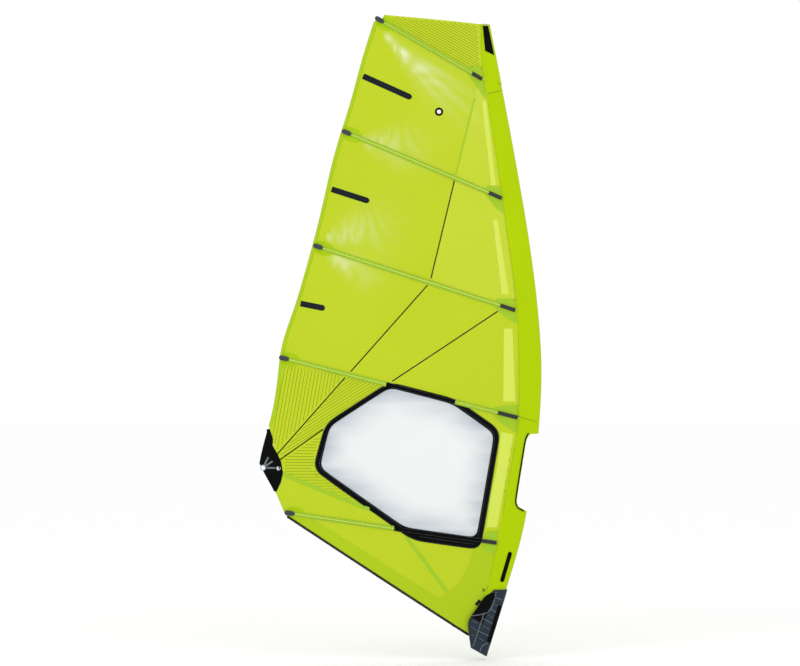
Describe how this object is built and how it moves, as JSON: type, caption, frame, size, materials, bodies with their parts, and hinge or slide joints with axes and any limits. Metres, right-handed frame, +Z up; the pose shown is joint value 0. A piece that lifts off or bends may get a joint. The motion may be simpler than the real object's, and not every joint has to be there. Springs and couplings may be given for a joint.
{
  "type": "windsurf sail",
  "caption": "Battened windsurf sail with hollow mast sleeve, clear window, boom cut-out, screw-tensioned battens, clew ring and tack pulley.",
  "frame": {"origin": "the tack: where the mast axis meets the height of the fairing's mouth", "axes": "+Z up the mast, +X towards the luff, +Y out of the windward face"},
  "size_m": [1.9736, 0.1464, 4.4835],
  "materials": {
    "sleeve_cloth": "woven polyester, satin",
    "body_film": "tinted polyester film, semi-gloss",
    "scrim_light": "pale laminated film, semi-gloss",
    "scrim_film": "film with diagonal yarns",
    "clear_film": "clear monofilm, glossy",
    "black_patch": "black laminate, satin",
    "binding": "woven binding tape",
    "edge_tape": "lime polyester tape",
    "pocket_cloth": "lime laminate",
    "glass_rod": "glass-fibre rod",
    "moulded_black": "moulded nylon",
    "moulded_grey": "moulded nylon, slate",
    "steel": "stainless steel",
    "webbing": "polyester webbing",
    "sheave_plastic": "acetal",
    "padded_cloth": "foam-backed cloth",
    "closure": "hook-and-loop flap"
  },
  "bodies": {
    "root": {"sleeve_head": "sleeve_cloth", "sleeve_main": "sleeve_cloth", "sleeve_lower": "sleeve_cloth", "sleeve_foot": "sleeve_cloth", "sleeve_tip_cap": "webbing", "head_patch": "black_patch", "cutout_binding": "binding", "sleeve_strip": "black_patch", "head_panel": "scrim_film", "leech_panel_1": "body_film", "leech_panel_2": "body_film", "leech_panel_3": "body_film", "luff_panel_1": "scrim_light", "luff_panel_2": "scrim_light", "luff_panel_3": "scrim_light", "centre_panel": "body_film", "clew_panel_upper": "scrim_film", "clew_panel_middle": "scrim_film", "clew_panel_lower": "scrim_film", "foot_panel_aft": "body_film", "foot_panel_fore": "scrim_light", "luff_panel_4": "scrim_light", "window_pane": "clear_film", "window_frame": "black_patch", "leech_tape": "edge_tape", "foot_tape": "binding", "batten_1": "glass_rod", "batten_2": "glass_rod", "batten_3": "glass_rod", "batten_4": "glass_rod", "batten_5": "glass_rod", "batten_pockets": "pocket_cloth", "luff_caps": "moulded_black", "luff_reinforcements": "pocket_cloth", "mini_battens": "glass_rod", "mini_pockets": "black_patch", "tensioner_housings": "moulded_grey", "clew_patch": "black_patch", "clew_ring": "steel", "clew_eyelet": "steel", "clew_straps": "webbing", "tack_webbing": "webbing", "fairing_pad": "padded_cloth", "fairing_pocket": "black_patch"},
    "pulley": {"pulley_cage": "moulded_grey", "pulley_axle": "steel"},
    "flap": {"fairing_flap": "closure"},
    "screw_1": {"tensioner_screw_1": "steel"},
    "slider_1": {"tensioner_slider_1": "moulded_black"},
    "screw_2": {"tensioner_screw_2": "steel"},
    "slider_2": {"tensioner_slider_2": "moulded_black"},
    "screw_3": {"tensioner_screw_3": "steel"},
    "slider_3": {"tensioner_slider_3": "moulded_black"},
    "screw_4": {"tensioner_screw_4": "steel"},
    "slider_4": {"tensioner_slider_4": "moulded_black"},
    "screw_5": {"tensioner_screw_5": "steel"},
    "slider_5": {"tensioner_slider_5": "moulded_black"},
    "wheel_1": {"sheave_1": "sheave_plastic"},
    "wheel_2": {"sheave_2": "sheave_plastic"},
    "wheel_3": {"sheave_3": "sheave_plastic"}
  },
  "joints": [
    {"name": "tensioner_1_screw", "type": "hinge", "parent": "root", "child": "screw_1", "pos_m": [-0.75397, -0.06889, 4.422], "axis": [0.8662, -0.051, -0.4971], "range_deg": [0, 7200]},
    {"name": "tensioner_1_slide", "type": "slide", "parent": "root", "child": "slider_1", "axis": [0.8662, -0.051, -0.4971], "range_m": [-0.016, 0]},
    {"name": "tensioner_2_screw", "type": "hinge", "parent": "root", "child": "screw_2", "pos_m": [-0.98686, -0.04355, 3.63322], "axis": [0.9173, -0.0899, -0.3879], "range_deg": [0, 7200]},
    {"name": "tensioner_2_slide", "type": "slide", "parent": "root", "child": "slider_2", "axis": [0.9173, -0.0899, -0.3879], "range_m": [-0.016, 0]},
    {"name": "tensioner_3_screw", "type": "hinge", "parent": "root", "child": "screw_3", "pos_m": [-1.1868, -0.02431, 2.83339], "axis": [0.9455, -0.1137, -0.3051], "range_deg": [0, 7200]},
    {"name": "tensioner_3_slide", "type": "slide", "parent": "root", "child": "slider_3", "axis": [0.9455, -0.1137, -0.3051], "range_m": [-0.016, 0]},
    {"name": "tensioner_4_screw", "type": "hinge", "parent": "root", "child": "screw_4", "pos_m": [-1.42676, -0.01174, 2.05051], "axis": [0.9623, -0.1203, -0.2437], "range_deg": [0, 7200]},
    {"name": "tensioner_4_slide", "type": "slide", "parent": "root", "child": "slider_4", "axis": [0.9623, -0.1203, -0.2437], "range_m": [-0.016, 0]},
    {"name": "tensioner_5_screw", "type": "hinge", "parent": "root", "child": "screw_5", "pos_m": [-1.38772, -0.0292, 0.96472], "axis": [0.9842, -0.1072, -0.141], "range_deg": [0, 7200]},
    {"name": "tensioner_5_slide", "type": "slide", "parent": "root", "child": "slider_5", "axis": [0.9842, -0.1072, -0.141], "range_m": [-0.016, 0]},
    {"name": "pulley_swing", "type": "hinge", "parent": "root", "child": "pulley", "pos_m": [-0.05, -0.01, 0.096], "axis": [0, 1, 0], "range_deg": [-25, 25]},
    {"name": "sheave_1_spin", "type": "hinge", "parent": "pulley", "child": "wheel_1", "pos_m": [-0.05, -0.0176, 0.05], "axis": [0, 1, 0], "continuous": true},
    {"name": "sheave_2_spin", "type": "hinge", "parent": "pulley", "child": "wheel_2", "pos_m": [-0.05, -0.01, 0.05], "axis": [0, 1, 0], "continuous": true},
    {"name": "sheave_3_spin", "type": "hinge", "parent": "pulley", "child": "wheel_3", "pos_m": [-0.05, -0.0024, 0.05], "axis": [0, 1, 0], "continuous": true},
    {"name": "fairing_flap_peel", "type": "hinge", "parent": "root", "child": "flap", "pos_m": [0.02576, -0.041, 0.062], "axis": [-0.2977, 0, -0.9547], "range_deg": [0, 100]}
  ],
  "couplings": [
    {"joint": "tensioner_1_screw", "follows": "tensioner_1_slide", "rad_per_m": -7854},
    {"joint": "tensioner_2_screw", "follows": "tensioner_2_slide", "rad_per_m": -7854},
    {"joint": "tensioner_3_screw", "follows": "tensioner_3_slide", "rad_per_m": -7854},
    {"joint": "tensioner_4_screw", "follows": "tensioner_4_slide", "rad_per_m": -7854},
    {"joint": "tensioner_5_screw", "follows": "tensioner_5_slide", "rad_per_m": -7854}
  ]
}
